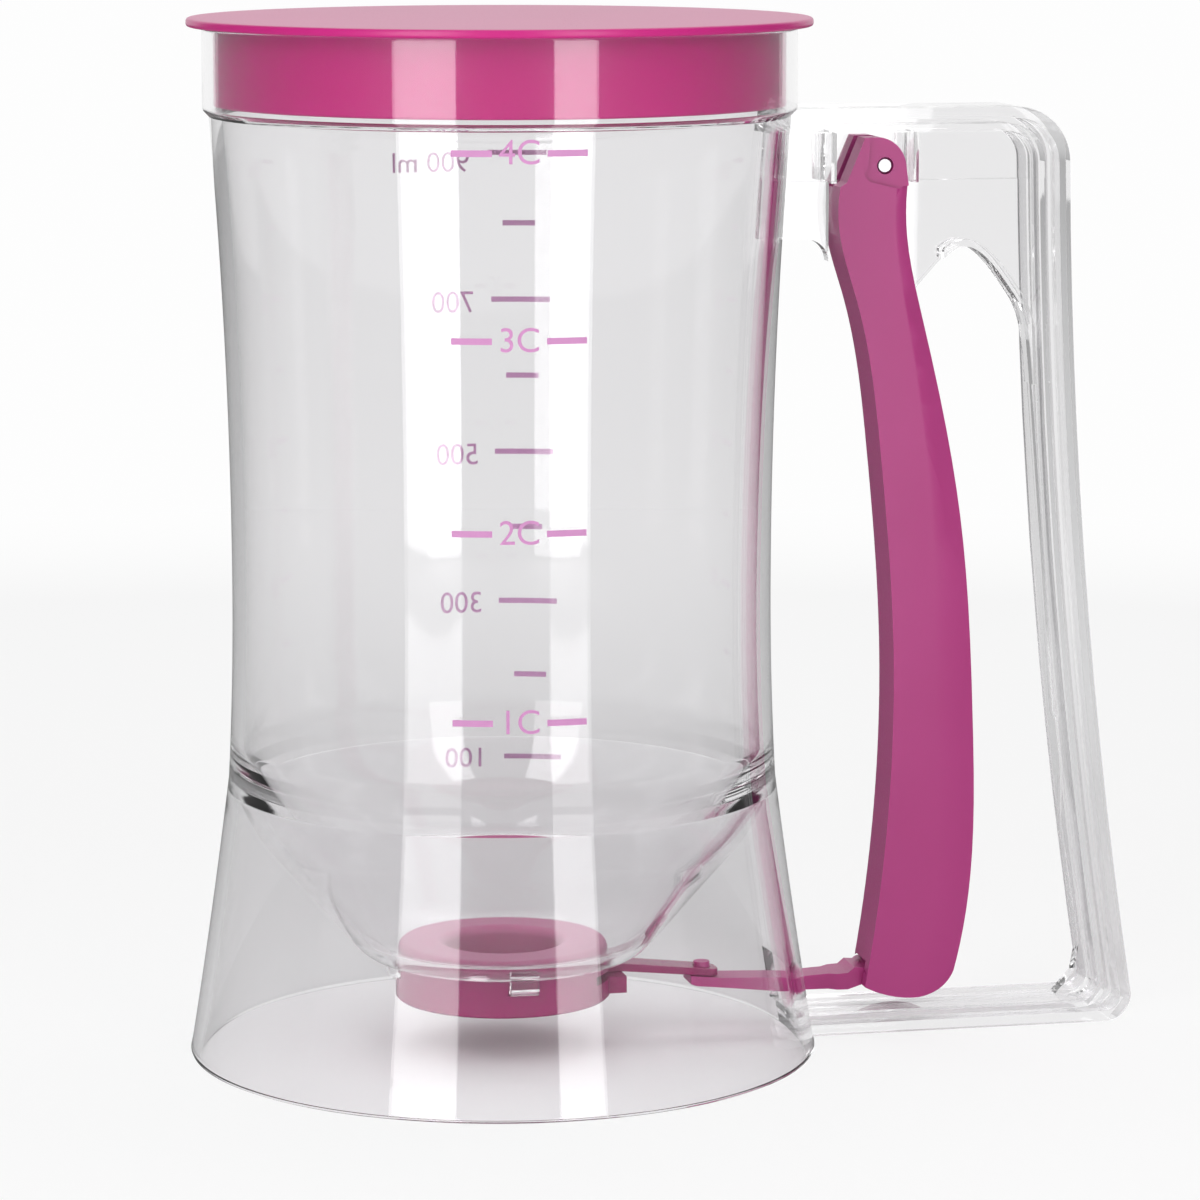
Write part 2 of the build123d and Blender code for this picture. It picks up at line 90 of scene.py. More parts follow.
# ---------------------------------------------------------------- finishes
@dataclass
class Tree:
    """A material's or a world's node tree, with short calls for the nodes that the finishes share."""

    material: bpy.types.Material | bpy.types.World

    @property
    def nodes(self) -> bpy.types.Nodes:
        """The tree's nodes."""
        return self.material.node_tree.nodes

    @property
    def links(self) -> bpy.types.NodeLinks:
        """The tree's links."""
        return self.material.node_tree.links

    @classmethod
    def blank(cls, name: str) -> Tree:
        """An empty tree on a new material.

        Args:
            name: the material's name.

        Returns:
            The tree, with nothing in it yet.
        """
        material = bpy.data.materials.new(name)
        material.use_nodes = True
        material.node_tree.nodes.clear()
        return cls(material)

    def add(self, kind: str, **inputs: object) -> bpy.types.Node:
        """Adds a node and sets or links its inputs.

        Args:
            kind: the node's type, such as ShaderNodeBsdfPrincipled.
            inputs: input name, with underscores for spaces, to a value or an output socket.

        Returns:
            The new node.
        """
        node = self.nodes.new(kind)
        for name, value in inputs.items():
            self.feed(node.inputs[name.replace("_", " ")], value)
        return node

    def feed(self, socket: bpy.types.NodeSocket, value: object) -> None:
        """Links an output socket to an input, or sets the input to a value.

        Args:
            socket: the input.
            value: an output socket or a value.
        """
        if isinstance(value, bpy.types.NodeSocket):
            self.links.new(value, socket)
        else:
            socket.default_value = value

    def noise(self, scale: float, detail: float = 3.0, roughness: float = 0.5) -> bpy.types.NodeSocket:
        """A noise over the piece's own coordinates.

        Args:
            scale: features per metre.
            detail: octaves.
            roughness: share of each finer octave.

        Returns:
            The noise's factor.
        """
        place = self.add("ShaderNodeTexCoord").outputs["Object"]
        noise = self.add("ShaderNodeTexNoise", Vector=place, Scale=scale, Detail=detail, Roughness=roughness)
        return noise.outputs["Fac"]

    def spread(self, factor: bpy.types.NodeSocket, low: float, high: float) -> bpy.types.NodeSocket:
        """A 0 to 1 factor moved to the range low to high.

        Args:
            factor: the factor.
            low: the value where it is 0.2.
            high: the value where it is 0.8.

        Returns:
            The moved value.
        """
        node = self.add("ShaderNodeMapRange", Value=factor, From_Min=0.2, From_Max=0.8, To_Min=low, To_Max=high)
        return node.outputs["Result"]

    def blend(self, factor: bpy.types.NodeSocket, first: Colour, second: Colour) -> bpy.types.NodeSocket:
        """A colour between two.

        Args:
            factor: 0 for the first colour, 1 for the second.
            first: linear RGB.
            second: linear RGB.

        Returns:
            The mixed colour.
        """
        node = self.nodes.new("ShaderNodeMix")
        node.data_type = "RGBA"
        self.feed(node.inputs[0], factor)
        node.inputs[6].default_value = (*first, 1)
        node.inputs[7].default_value = (*second, 1)
        return node.outputs[2]

    def bump(self, height: bpy.types.NodeSocket, depth: float) -> bpy.types.NodeSocket:
        """A bump of a real depth.

        Args:
            height: 0 to 1 height.
            depth: metres from 0 to 1.

        Returns:
            The bent normal.
        """
        return self.add("ShaderNodeBump", Height=height, Strength=1.0, Distance=depth).outputs["Normal"]

    def straight(self) -> bpy.types.NodeSocket:
        """Tells what is seen directly or straight through clear plastic from what lights or is reflected.

        Returns:
            1 for the first and 0 for the second.
        """
        path = self.add("ShaderNodeLightPath")
        bounced = self.reckon("ADD", path.outputs["Glossy Depth"], path.outputs["Diffuse Depth"])
        through = self.reckon("LESS_THAN", bounced, 0.5)
        clear = self.reckon("MULTIPLY", path.outputs["Is Transmission Ray"], through)
        return self.reckon("MAXIMUM", path.outputs["Is Camera Ray"], clear)

    def reckon(self, kind: str, first: object, second: object) -> bpy.types.NodeSocket:
        """A Math node.

        Args:
            kind: its operation.
            first: the first value or output socket.
            second: the second.

        Returns:
            The result.
        """
        node = self.nodes.new("ShaderNodeMath")
        node.operation = kind
        self.feed(node.inputs[0], first)
        self.feed(node.inputs[1], second)
        return node.outputs[0]

    def mix(self, factor: bpy.types.NodeSocket, first: bpy.types.Node, second: bpy.types.Node) -> bpy.types.Node:
        """A Mix Shader.

        Args:
            factor: 0 for the first shader, 1 for the second.
            first: the first shader node.
            second: the second.

        Returns:
            The mix's node.
        """
        node = self.add("ShaderNodeMixShader", Fac=factor)
        self.links.new(first.outputs[0], node.inputs[1])
        self.links.new(second.outputs[0], node.inputs[2])
        return node

    def close(self, shader: bpy.types.Node) -> bpy.types.Material:
        """Ends the tree in that shader and gives the material."""
        self.add("ShaderNodeOutputMaterial", Surface=shader.outputs[0])
        return self.material


@dataclass(frozen=True)
class ClearPlastic:
    """Polished clear plastic with the faint ripple of a moulding. It lets lamps through to what is inside."""

    name: str = "clear_plastic"
    tint: Colour = (0.955, 0.95, 0.957)
    shade: Colour = (0.84, 0.835, 0.842)
    roughness: Point = (0.012, 0.0288)
    ripple: float = 0.00002
    ripple_scale: float = 28.0
    haze_scale: float = 900.0

    def material(self) -> bpy.types.Material:
        """Builds the finish.

        Returns:
            The node material.
        """
        tree = Tree.blank(self.name)
        slow = tree.noise(self.ripple_scale, detail=1.0)
        haze = tree.noise(self.haze_scale, detail=4.0)
        shader = tree.add(
            "ShaderNodeBsdfPrincipled", Base_Color=(*self.tint, 1), IOR=PLASTIC_IOR, Transmission_Weight=1.0,
            Roughness=tree.spread(haze, *self.roughness), Normal=tree.bump(slow, self.ripple))
        lamps = tree.add("ShaderNodeBsdfTransparent", Color=(*self.shade, 1))
        return tree.close(tree.mix(tree.add("ShaderNodeLightPath").outputs["Is Shadow Ray"], shader, lamps))


@dataclass(frozen=True)
class ColouredPlastic:
    """Dyed gloss plastic: a little light goes into it, and the mould left a fine skin on it."""

    name: str
    dark: Colour
    light: Colour
    gloss: float = 0.28
    depth: float = 0.12
    reach: Place = (0.004, 0.0012, 0.0025)
    uneven: Point = (0.85, 1.2)
    drift_scale: float = 35.0
    grain_scale: float = 2600.0
    skin: float = 0.000004

    def material(self) -> bpy.types.Material:
        """Builds the finish.

        Returns:
            The node material.
        """
        tree = Tree.blank(self.name)
        drift = tree.noise(self.drift_scale, detail=2.0)
        grain = tree.noise(self.grain_scale, detail=4.0, roughness=0.6)
        rough = tree.spread(grain, *(self.gloss * share for share in self.uneven))
        shader = tree.add(
            "ShaderNodeBsdfPrincipled", Base_Color=tree.blend(drift, self.dark, self.light), IOR=PLASTIC_IOR,
            Roughness=rough, Subsurface_Weight=self.depth, Subsurface_Radius=self.reach, Subsurface_Scale=1.0,
            Normal=tree.bump(grain, self.skin))
        return tree.close(shader)


@dataclass(frozen=True)
class DrawnSteel:
    """Plain drawn steel of the pin and the spring."""

    name: str = "drawn_steel"
    dark: Colour = (0.5, 0.5, 0.52)
    light: Colour = (0.66, 0.66, 0.68)
    roughness: Point = (0.22, 0.38)
    streak_scale: float = 4000.0
    skin: float = 0.000002

    def material(self) -> bpy.types.Material:
        """Builds the finish.

        Returns:
            The node material.
        """
        tree = Tree.blank(self.name)
        streak = tree.noise(self.streak_scale)
        shader = tree.add(
            "ShaderNodeBsdfPrincipled", Base_Color=tree.blend(streak, self.dark, self.light), Metallic=1.0,
            Roughness=tree.spread(streak, *self.roughness), Normal=tree.bump(streak, self.skin))
        return tree.close(shader)


@dataclass(frozen=True)
class ScaleInk:
    """Screen-printed ink of the two scales, slightly uneven."""

    name: str
    thin: Colour
    thick: Colour
    roughness: Point = (0.42, 0.6)
    cover_scale: float = 1500.0
    skin: float = 0.000003

    def material(self) -> bpy.types.Material:
        """Builds the finish.

        Returns:
            The node material.
        """
        tree = Tree.blank(self.name)
        cover = tree.noise(self.cover_scale, detail=4.0)
        shader = tree.add(
            "ShaderNodeBsdfPrincipled", Base_Color=tree.blend(cover, self.thin, self.thick),
            Roughness=tree.spread(cover, *self.roughness), Normal=tree.bump(cover, self.skin))
        return tree.close(shader)


# ---------------------------------------------------------------- modelling
def deselect() -> None:
    """Leaves object mode with nothing selected."""
    if bpy.context.object and bpy.context.object.mode != "OBJECT":
        bpy.ops.object.mode_set(mode="OBJECT")
    bpy.ops.object.select_all(action="DESELECT")


def take(obj: bpy.types.Object) -> None:
    """Selects one object alone and makes it active.

    Args:
        obj: the object.
    """
    deselect()
    obj.select_set(True)
    bpy.context.view_layer.objects.active = obj


def settle(obj: bpy.types.Object) -> None:
    """Moves an object's place into its mesh.

    Args:
        obj: a mesh object.
    """
    take(obj)
    bpy.ops.object.transform_apply(location=True, rotation=True, scale=True)


def smooth(obj: bpy.types.Object, angle: float) -> None:
    """Shades an object smooth, with sharp edges over an angle.

    Args:
        obj: a mesh object.
        angle: edges sharper than this many degrees stay sharp.
    """
    take(obj)
    bpy.ops.object.shade_smooth_by_angle(angle=math.radians(angle))


def even_normals(obj: bpy.types.Object, angle: float) -> None:
    """Shades an object smooth, but keeps its large flat faces flat.

    Args:
        obj: a mesh object.
        angle: edges sharper than this many degrees stay sharp.
    """
    smooth(obj, angle)
    press(obj, "WEIGHTED_NORMAL", weight=100, keep_sharp=True)


def press(obj: bpy.types.Object, kind: str, **settings: object) -> None:
    """Adds a modifier and applies it.

    Args:
        obj: a mesh object.
        kind: the modifier's type.
        settings: its attributes.
    """
    take(obj)
    modifier = obj.modifiers.new(kind.lower(), kind)
    for name, value in settings.items():
        setattr(modifier, name, value)
    bpy.ops.object.modifier_apply(modifier=modifier.name)


def turned(name: str, profile: Sequence[Point], steps: int) -> bpy.types.Object:
    """Spins a closed profile round the jug's axis.

    Args:
        name: the new object's name.
        profile: radius and height, in millimetres, in order round the section.
        steps: segments round the axis.

    Returns:
        A closed mesh object at the origin.
    """
    deselect()
    bpy.ops.mesh.primitive_circle_add(vertices=len(profile), radius=1.0, location=(0, 0, 0))
    obj = bpy.context.object
    obj.name = obj.data.name = name
    for vertex, (radius, height) in zip(obj.data.vertices, profile):
        vertex.co = (radius * MM, 0, height * MM)
    bpy.ops.object.mode_set(mode="EDIT")
    bpy.ops.mesh.select_all(action="SELECT")
    bpy.ops.mesh.spin(steps=steps, angle=math.tau, center=(0, 0, 0), axis=(0, 0, 1))
    bpy.ops.mesh.select_all(action="SELECT")
    bpy.ops.mesh.remove_doubles(threshold=SPIN_MERGE)
    bpy.ops.mesh.normals_make_consistent(inside=False)
    bpy.ops.object.mode_set(mode="OBJECT")
    return obj


def arc(centre: Point, radius: float, start: float, end: float, steps: int = 6) -> list[Point]:
    """Points on a circle, for a profile.

    Args:
        centre: the circle's centre.
        radius: its radius.
        start: degrees at the first point, from the profile's radius axis.
        end: degrees at the last point.
        steps: how many spans.

    Returns:
        The points, both ends included.
    """
    turns = [math.radians(start + (end - start) * i / steps) for i in range(steps + 1)]
    return [(centre[0] + radius * math.cos(a), centre[1] + radius * math.sin(a)) for a in turns]


def rounded(corners: Sequence[Point], rounds: dict[int, float], steps: int = 5) -> list[Point]:
    """A closed profile with some of its corners rounded.

    Args:
        corners: the profile's corners in order.
        rounds: corner number to how far the rounding starts from the corner.
        steps: spans in each rounding.

    Returns:
        The profile's points.
    """
    points: list[Point] = []
    for number, corner in enumerate(corners):
        reach = rounds.get(number)
        if not reach:
            points.append(corner)
            continue
        here = Vector(corner)
        before = (Vector(corners[number - 1]) - here).normalized() * reach
        after = (Vector(corners[(number + 1) % len(corners)]) - here).normalized() * reach
        for i in range(steps + 1):
            t = i / steps
            place = here + before * (1 - t) ** 2 + after * t ** 2
            points.append((place.x, place.y))
    return points


def cad_copy(nodes: dict[str, bpy.types.Object], node: str, name: str) -> bpy.types.Object:
    """A merged copy of a CAD node's mesh, with its flat facets joined.

    Args:
        nodes: the frame's CAD nodes.
        node: the node to copy.
        name: the copy's name.

    Returns:
        The copy, at the origin.
    """
    obj = bpy.data.objects.new(name, nodes[node].data.copy())
    obj.data.name = name
    bpy.context.scene.collection.objects.link(obj)
    if obj.data.has_custom_normals:
        take(obj)
        bpy.ops.mesh.customdata_custom_splitnormals_clear()
    take(obj)
    bpy.ops.object.mode_set(mode="EDIT")
    bpy.ops.mesh.select_all(action="SELECT")
    bpy.ops.mesh.remove_doubles(threshold=CAD_MERGE)
    bpy.ops.object.mode_set(mode="OBJECT")
    obj.data.materials.clear()
    return obj


def flatten(obj: bpy.types.Object, angle: float = 0.6) -> None:
    """Joins facets that lie in one plane.

    Args:
        obj: a mesh object.
        angle: degrees between facets that still count as one plane.
    """
    take(obj)
    bpy.ops.object.mode_set(mode="EDIT")
    bpy.ops.mesh.select_all(action="SELECT")
    bpy.ops.mesh.dissolve_limited(angle_limit=math.radians(angle))
    bpy.ops.object.mode_set(mode="OBJECT")


def weld(base: bpy.types.Object, other: bpy.types.Object, operation: str = "UNION") -> None:
    """Joins another closed mesh to a base, or cuts it away, and drops it.

    Args:
        base: the mesh that stays.
        other: the mesh that is used up.
        operation: UNION, DIFFERENCE or INTERSECT.
    """
    press(base, "BOOLEAN", object=other, operation=operation, solver="EXACT")
    bpy.data.objects.remove(other)


def plate(name: str, outline: Sequence[Point], width: float) -> bpy.types.Object:
    """A flat plate across the handle's mid-plane.

    Args:
        name: the new object's name.
        outline: X and Z of its corners in order, in millimetres.
        width: its size along Y, in millimetres.

    Returns:
        A closed mesh object at the origin.
    """
    deselect()
    bpy.ops.mesh.primitive_circle_add(vertices=len(outline), radius=1.0, fill_type="NGON", location=(0, 0, 0))
    obj = bpy.context.object
    obj.name = obj.data.name = name
    for vertex, (x, z) in zip(obj.data.vertices, outline):
        vertex.co = (x * MM, -width / 2 * MM, z * MM)
    bpy.ops.object.mode_set(mode="EDIT")
    bpy.ops.mesh.select_all(action="SELECT")
    bpy.ops.mesh.extrude_region_move(TRANSFORM_OT_translate={"value": (0, width * MM, 0)})
    bpy.ops.mesh.select_all(action="SELECT")
    bpy.ops.mesh.normals_make_consistent(inside=False)
    bpy.ops.object.mode_set(mode="OBJECT")
    return obj


def block(middle: Place, size: Place) -> bpy.types.Object:
    """A square block for a cut.

    Args:
        middle: its centre, in millimetres.
        size: its size along X, Y and Z, in millimetres.

    Returns:
        The block.
    """
    deselect()
    bpy.ops.mesh.primitive_cube_add(size=1.0, location=[value * MM for value in middle])
    obj = bpy.context.object
    obj.scale = [value * MM for value in size]
    return obj


def close_gaps(obj: bpy.types.Object, merge: float) -> None:
    """Clears the slivers that cuts leave, and closes the gaps beside them.

    Args:
        obj: a mesh object.
        merge: points nearer than this, in metres, are merged.
    """
    take(obj)
    bpy.ops.object.mode_set(mode="EDIT")
    bpy.ops.mesh.select_all(action="SELECT")
    bpy.ops.mesh.remove_doubles(threshold=merge)
    bpy.ops.mesh.select_all(action="SELECT")
    bpy.ops.mesh.dissolve_degenerate(threshold=merge)
    bpy.ops.mesh.select_all(action="SELECT")
    bpy.ops.mesh.fill_holes(sides=0)
    bpy.ops.mesh.select_all(action="SELECT")
    bpy.ops.mesh.normals_make_consistent(inside=False)
    bpy.ops.object.mode_set(mode="OBJECT")


def dress(
    obj: bpy.types.Object, material: bpy.types.Material, body: Body, stands_for: Iterable[str] = ()
) -> None:
    """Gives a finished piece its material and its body.

    Args:
        obj: the piece.
        material: its material.
        body: the body that it rides on.
        stands_for: the CAD nodes that it replaces.
    """
    obj.data.materials.clear()
    obj.data.materials.append(material)
    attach(obj, body.value)
    if stands_for:
        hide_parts(*stands_for)
    log.info("%s: %d faces, rides on %s", obj.name, len(obj.data.polygons), body.value)


# ---------------------------------------------------------------- jug
@dataclass
class Jug:
    """The clear moulding: turned shell with its funnel, snap prongs, and the I-section handle."""

    height: float = 183.5
    ledge: float = 169.0
    base_radius: float = 56.4
    junction: Point = (49.0, 50.0)
    waist: Point = (48.0, 85.0)
    shoulder: Point = (51.2, 167.9)
    rim_radius: float = 52.3
    rim_wall: float = 1.9
    wall: float = 2.4
    skirt_wall: float = 2.2
    skirt_bow: float = 0.25
    edge: float = 0.6
    edge_share: float = 0.3
    foot_lean: float = 0.02
    step: Point = (0.15, 0.1)
    step_rise: float = 0.3
    lip_round: float = 0.25
    root: Point = (0.12, 0.35)
    funnel_start: Point = (46.8, 51.1)
    funnel_knee: Point = (44.38, 42.06)
    funnel_foot: Point = (23.69, 17.4)
    funnel_wall: float = 2.2
    funnel_bend: float = 5.0
    bend_spans: int = 8
    funnel_sink: float = 4.0
    outlet_radius: float = 19.1
    span: int = 4
    turns: int = 224
    slot_half: float = 8.0
    slot_low: float = 4.3
    slot_high: float = 14.0
    slot_middle: float = 51.0
    slot_depth: float = 16.0
    prong_inner: float = 19.55
    prong_length: float = 2.6
    prong_thickness: float = 1.5
    prong_barb: float = 0.5
    prong_width: float = 5.0
    prong_turns: tuple[float, ...] = (90, 180, 270)
    bite: float = 0.8
    seat_reach: float = 0.3
    handle_edge: float = 0.3
    handle_sharp: float = 50.0
    sharp: float = 30.0

    def skirt_radius(self, height: float, inset: float) -> float:
        """Radius of the flared skirt.

        Args:
            height: where, in millimetres over the base.
            inset: how far in from its outer face.

        Returns:
            The radius.
        """
        share = height / self.junction[1]
        return self.base_radius + (self.junction[0] - self.base_radius) * share - (
            4 * self.skirt_bow * share * (1 - share)) - inset

    def wall_radius(self, height: float, inset: float) -> float:
        """Radius of the container wall.

        Args:
            height: where, in millimetres over the base.
            inset: how far in from its outer face.

        Returns:
            The radius.
        """
        low, mid, high = self.junction, self.waist, self.shoulder
        if height < mid[1]:
            share = (mid[1] - height) / (mid[1] - low[1])
            return mid[0] + (low[0] - mid[0]) * share ** 2 - inset
        share = (height - mid[1]) / (high[1] - mid[1])
        return mid[0] + (high[0] - mid[0]) * share ** 2 - inset

    def outer_radius(self, height: float) -> float:
        """Radius of the jug's outer face.

        Args:
            height: where, in millimetres over the base.

        Returns:
            The radius.
        """
        if height < self.junction[1]:
            return self.skirt_radius(height, 0)
        if height < self.shoulder[1]:
            return self.wall_radius(height, 0)
        return min(self.rim_radius, self.shoulder[0] + height - self.shoulder[1])

    def funnel_line(self, side: float) -> list[Point]:
        """The funnel's upper or lower face, from the wall to the outlet.

        Args:
            side: +1 for the upper face and -1 for the lower one.

        Returns:
            Profile points.
        """
        half = self.funnel_wall / 2
        start, knee, foot = Vector(self.funnel_start), Vector(self.funnel_knee), Vector(self.funnel_foot)
        end = Vector((self.outlet_radius, foot.y))
        start = start + (start - knee).normalized() * self.funnel_sink
        line = [start, knee, foot, end]
        spans = [(b - a).normalized() for a, b in zip(line, line[1:])]
        normals = [Vector((s.y, -s.x)) for s in spans]
        corners: list[Point] = []
        for number, place in enumerate(line):
            before = normals[max(0, number - 1)]
            after = normals[min(number, len(normals) - 1)]
            across = (before + after) / (1 + before.dot(after))
            shifted = place + across * half * side
            corners.append((shifted.x, shifted.y))
        meet = self.wall if side > 0 else self.skirt_wall
        radius = self.wall_radius if side > 0 else self.skirt_radius
        top, below, tries = Vector(corners[0]), Vector(corners[1]), 400
        places = (top.lerp(below, i / tries) for i in range(tries + 1))
        corners[0] = tuple(next(place for place in places if place.x < radius(place.y, meet)))
        return rounded(corners, {1: self.funnel_bend, 2: self.funnel_bend}, self.bend_spans)

    def profile(self) -> list[Point]:
        """The shell's whole section.

        Returns:
            Profile points, from the base up the outside, over the rim and down the inside.
        """
        seat, low, high = self.rim_radius - self.rim_wall, int(self.junction[1]), int(self.shoulder[1])
        outer = [(self.skirt_radius(z, 0), z) for z in range(2, low, self.span)]
        outer += [self.junction]
        outer += [(self.wall_radius(z, 0), z) for z in range(low + self.span, high - 1, self.span)]
        outer += [self.shoulder, (self.rim_radius - self.step[0], self.ledge - self.step[1])]
        outer += [(self.rim_radius, self.ledge + self.step_rise)]
        rim = arc((self.rim_radius - self.edge, self.height - self.edge), self.edge, 0, 90)
        rim += arc((seat + self.edge, self.height - self.edge), self.edge, 90, 180)
        lip = self.shoulder[0] - self.wall
        inner = [(seat, self.ledge), (lip + self.lip_round, self.ledge), (lip, self.ledge - self.lip_round)]
        upper = self.funnel_line(1)
        inner += [(self.wall_radius(z, self.wall), z) for z in range(high - 2, int(upper[0][1]) + 2, -self.span)]
        lower = self.funnel_line(-1)
        top = lower[0]
        skirt = [(top[0] + self.root[0], top[1] - self.root[1])]
        skirt += [(self.skirt_radius(z, self.skirt_wall), z) for z in range(int(top[1]) - 2, 1, -self.span)]
        foot_in, cut = self.skirt_radius(0, self.skirt_wall), self.edge * self.edge_share
        foot = [(foot_in, self.edge), (foot_in + cut, cut), (foot_in + self.edge, 0)]
        heel = [(self.base_radius - self.edge, 0), (self.base_radius - cut, cut),
                (self.base_radius - self.foot_lean, self.edge)]
        return outer + rim + inner + upper + lower[::-1] + skirt + foot + heel

    def shell(self) -> bpy.types.Object:
        """The turned shell with the pull arm's slot cut through its skirt.

        Returns:
            The shell's mesh object.
        """
        shell = turned("clear_moulding", self.profile(), self.turns)
        place = (self.slot_middle, 0, (self.slot_low + self.slot_high) / 2)
        weld(shell, block(place, (self.slot_depth, 2 * self.slot_half, self.slot_high - self.slot_low)), "DIFFERENCE")
        return shell

    def prong(self, turn: float) -> bpy.types.Object:
        """One snap prong that holds the valve housing up, rooted in the funnel's floor.

        Args:
            turn: degrees round the jug's axis.

        Returns:
            The prong, with its place in its mesh.
        """
        top = self.funnel_foot[1] - self.funnel_wall / 2
        low = top - self.prong_length
        inner, outer, barb = self.prong_inner, self.prong_inner + self.prong_thickness, self.prong_barb
        hook = [(inner, top + self.bite), (inner, low + 2 * barb), (inner - barb, low + barb), (inner, low),
                (outer - barb, low), (outer, low + barb), (outer, top + self.bite)]
        prong = plate("prong", hook, self.prong_width)
        prong.rotation_euler = (0, 0, math.radians(turn))
        settle(prong)
        return prong

    def frame(self, nodes: dict[str, bpy.types.Object]) -> bpy.types.Object:
        """The handle with eased edges, its ends moved into the wall so that the two join in one piece.

        Args:
            nodes: the frame's CAD nodes.

        Returns:
            The handle's mesh object.
        """
        handle = cad_copy(nodes, "handle", "handle_frame")
        for vertex in handle.data.vertices:
            radius, height = math.hypot(vertex.co.x, vertex.co.y) / MM, vertex.co.z / MM
            outer = self.outer_radius(height)
            if abs(radius - outer) < self.seat_reach:
                share = (outer - self.bite) / radius
                vertex.co.x *= share
                vertex.co.y *= share
        flatten(handle)
        press(handle, "BEVEL", width=self.handle_edge * MM, segments=2, limit_method="ANGLE",
              angle_limit=math.radians(self.handle_sharp))
        return handle

    def build(self, nodes: dict[str, bpy.types.Object]) -> None:
        """Makes and dresses the jug.

        Args:
            nodes: the frame's CAD nodes.
        """
        jug = self.shell()
        weld(jug, self.frame(nodes))
        for turn in self.prong_turns:
            weld(jug, self.prong(turn))
        close_gaps(jug, CAD_MERGE)
        even_normals(jug, self.sharp)
        dress(jug, ClearPlastic().material(), Body.JUG, ("jug", "funnel", "handle"))


# ---------------------------------------------------------------- lid
@dataclass
class Lid:
    """Push-in lid: flat flange with a rounded edge, and the hollow plug under it."""

    top: float = 185.0
    flange_radius: float = 55.0
    thickness: float = 1.5
    plug_radius: float = 50.25
    plug_wall: float = 1.7
    plug_low: float = 169.9
    dish: float = 4.0
    axis: float = 0.02
    turns: int = 224
    sharp: float = 40.0

    def build(self) -> None:
        """Makes and dresses the lid."""
        under = self.top - self.thickness
        inside = self.plug_radius - self.plug_wall
        corners = [
            (self.axis, self.top), (self.flange_radius - self.dish, self.top), (self.flange_radius, self.top),
            (self.flange_radius, under), (self.plug_radius, under), (self.plug_radius, self.plug_low),
            (inside, self.plug_low), (inside, under), (self.axis, under),
        ]
        rounds = {2: 0.7, 3: 0.6, 4: 0.3, 5: 0.6, 6: 0.5, 7: 0.6}
        lid = turned("lid_plate", rounded(corners, rounds), self.turns)
        smooth(lid, self.sharp)
        plastic = ColouredPlastic("lid_plastic", (0.485, 0.012, 0.175), (0.53, 0.018, 0.2), gloss=0.3, depth=0.08)
        dress(lid, plastic.material(), Body.LID, ("lid",))


# ---------------------------------------------------------------- trigger and valve
@dataclass
class Mechanism:
    """Trigger, pin, spring and the valve train: copies of the CAD solids; the trigger's and the valve train's edges
    are eased, and the pin and the spring are only shaded smooth.
    """

    pivot: Point = (68.5, 158.3)
    edge: float = 0.25
    sharp: float = 35.0
    pin_sharp: float = 30.0
    wire_sharp: float = 60.0
    leg_start: Place = (1.4, 3.85, 0.2)
    leg_gap: float = 0.35
    leg_block: Place = (20.0, 6.0, 40.0)

    def ease(self, obj: bpy.types.Object, width: float, angle: float) -> None:
        """Joins flat facets and rounds the sharp edges.

        Args:
            obj: a piece.
            width: the rounding's width in millimetres.
            angle: edges sharper than this many degrees are rounded.
        """
        flatten(obj)
        press(obj, "BEVEL", width=width * MM, segments=2, limit_method="ANGLE", angle_limit=math.radians(angle))
        even_normals(obj, self.sharp)

    def build(self, nodes: dict[str, bpy.types.Object]) -> None:
        """Makes and dresses the mechanism's pieces.

        Args:
            nodes: the frame's CAD nodes.
        """
        grip = ColouredPlastic("trigger_plastic", (0.375, 0.034, 0.175), (0.415, 0.043, 0.205), gloss=0.36)
        valve = ColouredPlastic("valve_plastic", (0.24, 0.012, 0.095), (0.29, 0.018, 0.12), gloss=0.24)
        soft = ColouredPlastic("seal_silicone", (0.40, 0.07, 0.20), (0.46, 0.09, 0.24), gloss=0.42, depth=0.3)
        plan = (
            ("trigger", "trigger_lever", grip, Body.TRIGGER, Slot.TRIGGER, 35.0),
            ("pull_arm", "arm_link", grip, Body.ARM, Slot.TRIGGER, 40.0),
            ("valve_gate", "gate_plate", valve, Body.GATE, Slot.VALVE, 40.0),
            ("valve_housing", "housing_ring", valve, Body.JUG, Slot.VALVE, 40.0),
            ("valve_seal", "seal_ring", soft, Body.JUG, Slot.SEAL, 40.0),
        )
        for node, name, finish, body, slot, angle in plan:
            piece = cad_copy(nodes, node, name)
            self.ease(piece, self.edge, angle)
            material = bpy.data.materials.get(finish.name) or finish.material()
            dress(piece, material, body, (node,))
        steel = DrawnSteel().material()
        pin = cad_copy(nodes, "pivot_pin", "pin_shaft")
        smooth(pin, self.pin_sharp)
        dress(pin, steel, Body.JUG, ("pivot_pin",))
        for name, body, cut, spare in (
            ("spring_coil", Body.JUG, "DIFFERENCE", self.leg_gap), ("spring_leg", Body.TRIGGER, "INTERSECT", 0.0),
        ):
            wire = cad_copy(nodes, "return_spring", name)
            weld(wire, self.leg_room(spare), cut)
            smooth(wire, self.wire_sharp)
            dress(wire, steel, body, ("return_spring",))

    def leg_room(self, spare: float) -> bpy.types.Object:
        """A block round the leg of the spring that pushes the trigger, clear of the coil.

        Args:
            spare: how far the block is grown towards the coil, in millimetres.

        Returns:
            The block.
        """
        deep, wide, tall = (size + spare for size in self.leg_block)
        x, y, z = (start - spare for start in self.leg_start)
        middle = (self.pivot[0] - x - deep / 2, y + wide / 2, self.pivot[1] - z - tall / 2)
        return block(middle, (deep, wide, tall))


